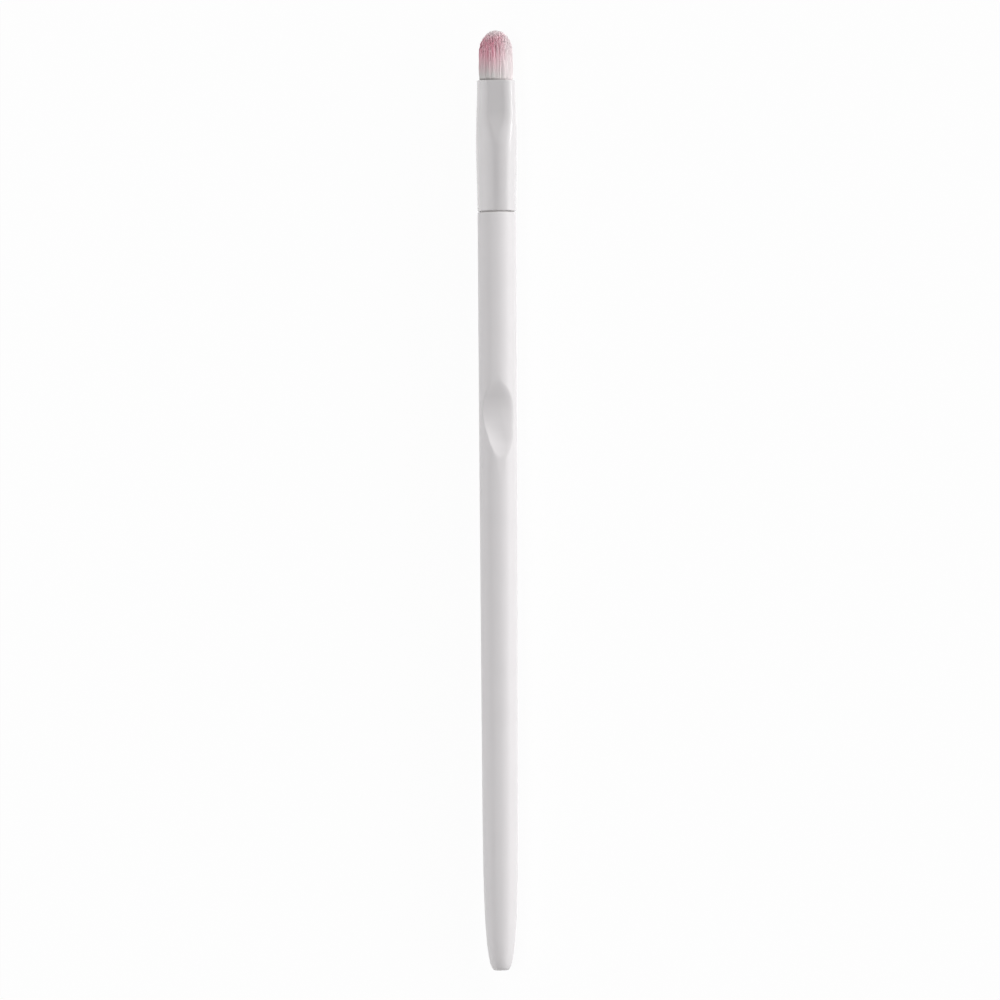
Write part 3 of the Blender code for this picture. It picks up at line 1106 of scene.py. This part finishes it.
    def courses(
        self, roots: np.ndarray, away: np.ndarray, lean: np.ndarray, share: np.ndarray, past_mouth: np.ndarray
    ) -> tuple[np.ndarray, np.ndarray]:
        """The lines that the filaments follow, drawn in by their clumps and closed up towards the tip.

        Args:
            roots: Where the filaments stand.
            away: The way from each root to the middle of its clump.
            lean: How far each filament leans at the tip.
            share: How far along its filament each point lies.
            past_mouth: How far past the mouth it lies.

        Returns:
            How far each point lies to the side of the axis and over it.
        """
        root = self.root_place
        rise = (past_mouth - root) / (self.length - root)
        bend = rise**self.closing_power
        gather = self.clump_pull * share**self.gather_power
        across = (roots[:, 0, None] + gather * away[:, 0, None]) * (1.0 - self.width_closing * bend)
        over = (roots[:, 1, None] + gather * away[:, 1, None]) * (1.0 - self.thickness_closing * bend)
        across, over = across + lean[:, 0, None] * bend, over + lean[:, 1, None] * bend
        flank, _ = self.off_middle(roots)
        crowned = np.clip((past_mouth - root) / self.crown_length, 0.0, 1.0) ** 2
        over = over * (1.0 - self.crown * crowned * flank[:, None] ** 2)
        nose = np.clip(1.0 - (self.length - past_mouth) / self.nose_length, 0.0, 1.0)
        return across, over * np.sqrt(1.0 - self.nose_closing * nose * nose)

    @property
    def root_place(self) -> float:
        """How far past the mouth the roots' ends lie, which is less than zero."""
        return -self.resin_depth - self.root_share * self.slice_thickness

    def lay_strands(self, shape: np.ndarray, dice: np.random.Generator) -> tuple[np.ndarray, np.ndarray]:
        """Works out where every point of every filament lies.

        Args:
            shape: The points of the unit filament.
            dice: Source of every random draw.

        Returns:
            The points, one block for each filament, and each filament's own number from 0 to 1.
        """
        roots = self.roots(self.pitch, dice)
        clumps = self.roots(self.clump_pitch, dice)
        count = len(roots)
        clump = np.argmin(((roots[:, None, :] - clumps[None, :, :]) ** 2).sum(axis=2), axis=1)
        lean = dice.normal(0.0, self.clump_lean, clumps.shape)[clump]
        lean += dice.normal(0.0, self.hair_lean, roots.shape)
        shared = self.clump_tint_share * dice.random(len(clumps))[clump]
        tint = np.clip(shared + (1.0 - self.clump_tint_share) * dice.random(count), 0.0, 1.0)
        drop = self.drops(roots, clump, len(clumps), dice)
        share = shape[None, :, 2]
        past_mouth = self.root_place + share * (self.length - drop - self.root_place)[:, None]
        across, over = self.courses(roots, clumps[clump] - roots, lean, share, past_mouth)
        spin = dice.uniform(0.0, 2.0 * math.pi, count)[:, None]
        start = dice.uniform(0.0, 2.0 * math.pi, (count, 2))[:, None, :]
        turns = 2.0 * math.pi * (past_mouth / self.wander_length)[:, :, None] + start
        free = np.clip(past_mouth / self.crown_length, 0.0, 1.0)[:, :, None]
        wander = self.wander * free * np.sin(turns)
        swelled = np.clip(past_mouth / self.swell_length, 0.0, 1.0)
        drawn = 1.0 - self.pinch * (1.0 - swelled) ** 2
        across, over = (across + wander[:, :, 0]) * drawn, (over + wander[:, :, 1]) * drawn
        cosine, sine = np.cos(spin), np.sin(spin)
        width = self.root_radius * (1.0 - (1.0 - self.tip_share) * share**self.taper_power)
        across = across + width * (shape[None, :, 0] * cosine - shape[None, :, 1] * sine)
        over = over - width * (shape[None, :, 0] * sine + shape[None, :, 1] * cosine)
        along = self.axis.shoulder - self.ferrule.mouth_depth + past_mouth
        return np.stack([across, along, self.axis.height + over], axis=2), tint

    def build_filaments(self) -> bpy.types.Object:
        """Copies the unit filament for every root, lays the copies in place and dresses them.

        Returns:
            The tuft's one piece of filament.
        """
        dice = np.random.default_rng(self.seed)
        strand = self.strand()
        unit_mesh = bpy.data.meshes.new("unit_filament")
        strand.to_mesh(unit_mesh)
        unit = np.array([vert.co for vert in strand.verts])
        strand.free()
        points, tint = self.lay_strands(unit, dice)
        bundle = bmesh.new()
        for _ in range(len(points)):
            bundle.from_mesh(unit_mesh, face_normals=False, vertex_normals=False)
        mesh = bpy.data.meshes.new("filament_tuft")
        bundle.to_mesh(mesh)
        bundle.free()
        bpy.data.meshes.remove(unit_mesh)
        mesh.vertices.foreach_set("co", points.astype(np.float32).ravel())
        numbers = mesh.attributes.new(self.tint_name, "FLOAT", "POINT")
        numbers.data.foreach_set("value", np.repeat(tint, len(unit)).astype(np.float32))
        mesh.update()
        mesh.shade_smooth()
        piece = bpy.data.objects.new("filament_tuft", mesh)
        bpy.context.scene.collection.objects.link(piece)
        dress(piece, self.finish.material(self.tint_name))
        return piece

    def build_slice(self) -> bpy.types.Object:
        """Raises the slice of resin from a circle that is pressed to the bore's section.

        Returns:
            The slice.
        """
        shape = bmesh.new()
        bmesh.ops.create_circle(shape, cap_ends=True, segments=self.slice_sides, radius=1.0)
        inset = self.ferrule.wall + self.clearance
        top = self.axis.shoulder - self.ferrule.mouth_depth - self.resin_depth
        for vert in shape.verts:
            angle = math.atan2(vert.co.x, vert.co.y)
            across, rise = self.ferrule.outline(self.resin_depth, inset, angle)
            vert.co = Vector((across, top, self.axis.height + rise))
        grown = bmesh.ops.extrude_face_region(shape, geom=shape.faces[:])
        raised = [item for item in grown["geom"] if isinstance(item, bmesh.types.BMVert)]
        bmesh.ops.translate(shape, verts=raised, vec=(0.0, -self.slice_thickness, 0.0))
        piece = finished(shape, "resin_slice")
        dress(piece, self.resin.material())
        return piece

    def build(self) -> list[bpy.types.Object]:
        """Builds the filaments and the slice that they stand in.

        Returns:
            The two pieces that stand for the CAD's bristles.
        """
        filaments, resin_slice = self.build_filaments(), self.build_slice()
        for piece, slot in ((filaments, Slot.BRISTLES), (resin_slice, Slot.ROOT_PLUG)):
            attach(piece, "root")
            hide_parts("bristles")
        return [filaments, resin_slice]


@dataclass(frozen=True)
class Bonding:
    """The two adhesives inside the ferrule, which keep their CAD shapes.

    Attributes:
        resin: What holds the filament roots.
        glue: What holds the handle's tenon.
    """

    resin: CastResin
    glue: CastResin

    def build(self) -> list[bpy.types.Object]:
        """Dresses the CAD's own root plug and glue sleeve.

        Returns:
            The two CAD nodes.
        """
        plug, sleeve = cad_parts["root_plug"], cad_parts["tenon_glue"]
        dress(plug, self.resin.material())
        dress(sleeve, self.glue.material())
        return [plug, sleeve]


@dataclass(frozen=True)
class Lamp:
    """A rectangular soft box that points at the brush and doesn't show to the camera.

    Attributes:
        name: What the lamp is called.
        place: Where it hangs.
        width: Its size across the brush.
        length: Its size along the brush.
        brightness: The radiance of its face, where 1 is white.
        mirrored: Whether glossy surfaces reflect it, or only take its light.
    """

    name: str
    place: tuple[float, float, float]
    width: float
    length: float
    brightness: float
    mirrored: bool

    def build(self) -> None:
        """Hangs the lamp and aims it at the middle of the brush."""
        light = bpy.data.lights.new(self.name, "AREA")
        light.shape = "RECTANGLE"
        light.size, light.size_y = self.width, self.length
        light.energy = self.brightness * math.pi * self.width * self.length
        lamp = bpy.data.objects.new(self.name, light)
        lamp.location = self.place
        lamp.rotation_euler = Vector(self.place).to_track_quat("Z", "X").to_euler()
        lamp.visible_camera = False
        lamp.visible_glossy = self.mirrored
        bpy.context.scene.collection.objects.link(lamp)


@dataclass(frozen=True)
class Studio:
    """A white paper floor, soft boxes at the sides and past the tip, and a long lens straight above.

    Attributes:
        axis: The brush's axis, which is what the lens is focused on.
        lamps: The soft boxes.
        mirrored_stops: What glossy surfaces see round the brush from left to right, as pairs of how far to
            the right the sight line points and how bright it is there.
        floor_radius: The size of the paper.
        floor_sides: How many sides its edge has.
        floor_drop: How far below the brush it lies.
        paper_colour: The paper.
        tooth_size: The pitch of the paper's tooth, in millimetres.
        tooth_height: How high it stands.
        shadow_share: How much of the brush's shadow the camera sees on it.
        image_pixels: The width of the picture.
        pixel_size: What one pixel covers at the brush's axis.
        lens: Focal length in millimetres.
        roll: How far the brush leans in the picture.
        axis_shift_pixels: How far to the side of the picture's middle the brush lies.
    """

    axis: BrushAxis
    lamps: tuple[Lamp, ...] = (
        Lamp("right_soft_box", (0.9035, -0.08, 0.2936), 0.36, 0.9, 4.9, False),
        Lamp("left_soft_box", (-0.375, -0.08, 0.873), 0.36, 0.9, 4.75, False),
        Lamp("left_fill", (-0.945, -0.08, 0.099), 0.36, 0.9, 2.2, False),
        Lamp("right_strip", (0.870, 0.375, 0.058), 0.03, 0.5, 7.0, True),
        Lamp("tip_soft_box", (1.50, 2.28, 0.99), 1.5, 0.9, 11.5, False),
    )
    mirrored_stops: tuple[tuple[float, float], ...] = (
        (-0.8, 1.0),
        (-0.3, 0.0),
        (0.2, 0.0),
        (0.5, 0.1),
        (0.75, 0.16),
        (0.9, 0.34),
        (0.98, 0.8),
    )
    floor_radius: float = 6.0
    floor_sides: int = 96
    floor_drop: float = 0.00002
    paper_colour: str = "#F0F0F0"
    tooth_size: float = 0.5
    tooth_height: float = 0.00002
    shadow_share: float = 0.045
    image_pixels: int = 1000
    pixel_size: float = 0.00017553
    lens: float = 200.0
    roll: float = 0.00573
    axis_shift_pixels: float = 1.6

    def build_floor(self) -> None:
        """Lays the paper floor, which is white to the camera apart from a share of the brush's shadow."""
        shape = bmesh.new()
        bmesh.ops.create_circle(shape, cap_ends=True, segments=self.floor_sides, radius=self.floor_radius)
        bmesh.ops.translate(shape, verts=shape.verts, vec=(0.0, 0.0, -self.floor_drop))
        mesh = bpy.data.meshes.new("paper_floor")
        shape.to_mesh(mesh)
        shape.free()
        floor = bpy.data.objects.new("paper_floor", mesh)
        bpy.context.scene.collection.objects.link(floor)
        dress(floor, self.paper())

    def paper(self) -> bpy.types.Material:
        """Uncoated white paper: flat and matte with a fine tooth, and plain white where it is seen.

        Returns:
            The material.
        """
        material, tree, shader = new_material("uncoated white paper")
        place = add_node(tree, "ShaderNodeTexCoord").outputs["Object"]
        tooth = add_node(
            tree, "ShaderNodeTexNoise", {"Vector": place, "Scale": grain(self.tooth_size), "Detail": 3.0}
        )
        bump = add_node(
            tree,
            "ShaderNodeBump",
            {"Height": tooth.outputs["Fac"], "Distance": self.tooth_height, "Strength": 0.3},
        )
        tree.links.new(bump.outputs["Normal"], shader.inputs["Normal"])
        shader.inputs["Base Color"].default_value = linear(self.paper_colour)
        shader.inputs["Roughness"].default_value = 0.9
        shader.inputs["Specular IOR Level"].default_value = 0.2
        glow = add_node(tree, "ShaderNodeEmission", {"Color": WHITE, "Strength": 1.0})
        seen = self.seen_rays(tree)
        share = add_node(tree, "ShaderNodeMath", {0: seen, 1: 1.0 - self.shadow_share}, operation="MULTIPLY")
        mixed = add_node(
            tree,
            "ShaderNodeMixShader",
            {0: share.outputs["Value"], 1: shader.outputs["BSDF"], 2: glow.outputs["Emission"]},
        )
        tree.links.new(mixed.outputs["Shader"], tree.nodes["Material Output"].inputs["Surface"])
        return material

    def seen_rays(self, tree: bpy.types.NodeTree, mirrored: bpy.types.NodeSocket | float = 1.0) -> Any:
        """Tells rays that show the backdrop from those that only carry light.

        Args:
            tree: The node tree that gets the nodes.
            mirrored: What a glossy ray sees, where 1 is the plain backdrop.

        Returns:
            A socket that is 1 for a ray from the camera or through a clear surface, what is mirrored for a
            glossy one, and 0 for one that only carries light.
        """
        path = add_node(tree, "ShaderNodeLightPath").outputs
        gloss = add_node(
            tree, "ShaderNodeMath", {0: path["Is Glossy Ray"], 1: mirrored}, operation="MULTIPLY"
        ).outputs["Value"]
        direct = add_node(
            tree,
            "ShaderNodeMath",
            {0: path["Is Camera Ray"], 1: path["Is Transmission Ray"]},
            operation="MAXIMUM",
        ).outputs["Value"]
        return add_node(tree, "ShaderNodeMath", {0: gloss, 1: direct}, operation="MAXIMUM").outputs["Value"]

    def build_surround(self) -> None:
        """Makes the world white where it is seen, with a dark band along the brush in mirrors."""
        world = bpy.data.worlds.new("studio_surround")
        world.use_nodes = True
        tree = world.node_tree
        way = add_node(tree, "ShaderNodeTexCoord").outputs["Generated"]
        sideways = add_node(tree, "ShaderNodeSeparateXYZ", {"Vector": way}).outputs["X"]
        place = add_node(tree, "ShaderNodeMapRange", {"Value": sideways, "From Min": -1.0}).outputs["Result"]
        ramp = add_node(tree, "ShaderNodeValToRGB", {"Fac": place})
        for side, brightness in self.mirrored_stops:
            stop = ramp.color_ramp.elements.new((side + 1.0) / 2.0)
            stop.color = (brightness, brightness, brightness, 1.0)
        for edge in (ramp.color_ramp.elements[0], ramp.color_ramp.elements[-1]):
            edge.color = WHITE
        background = tree.nodes["Background"]
        background.inputs["Color"].default_value = WHITE
        tree.links.new(self.seen_rays(tree, ramp.outputs["Color"]), background.inputs["Strength"])
        bpy.context.scene.world = world

    def build_camera(self) -> None:
        """Hangs the camera over the brush, with the frame and the slight tilt of the photograph."""
        data = bpy.data.cameras.new("lens")
        data.lens = self.lens
        distance = self.image_pixels * self.pixel_size * self.lens / data.sensor_width
        data.clip_start, data.clip_end = distance / 100.0, distance * 20.0
        camera = bpy.data.objects.new("lens", data)
        camera.location = (self.axis_shift_pixels * self.pixel_size, 0.0, self.axis.height + distance)
        camera.rotation_euler = (0.0, 0.0, -self.roll)
        bpy.context.scene.collection.objects.link(camera)
        bpy.context.scene.camera = camera

    def build(self) -> None:
        """Sets up the floor, the light and the camera."""
        self.build_floor()
        self.build_surround()
        for lamp in self.lamps:
            lamp.build()
        self.build_camera()
        bpy.context.scene.view_settings.view_transform = "Standard"


def main() -> None:
    """Builds the brush and its studio in order, and reports each piece."""
    logging.basicConfig(level=logging.INFO, format="%(message)s")
    axis = BrushAxis()
    resin = CastResin("cured amber epoxy", "#CBB27A", "#E2D2A4", 0.25, 0.3)
    glue = CastResin("set off-white adhesive", "#E0DCC8", "#EEEBDD", 0.4, 0.25)
    ferrule = Ferrule(axis, LacqueredAluminium())
    assemblies = (
        Handle(axis, ThumbScoop(), MouldedPlastic()),
        ferrule,
        Tuft(axis, ferrule, DippedFilament(), resin),
        Bonding(resin, glue),
    )
    for assembly in assemblies:
        for piece in assembly.build():
            logging.info("%s: %s, %d faces", type(assembly).__name__, piece.name, len(piece.data.polygons))
    Studio(axis).build()


if __name__ == "__main__":
    main()
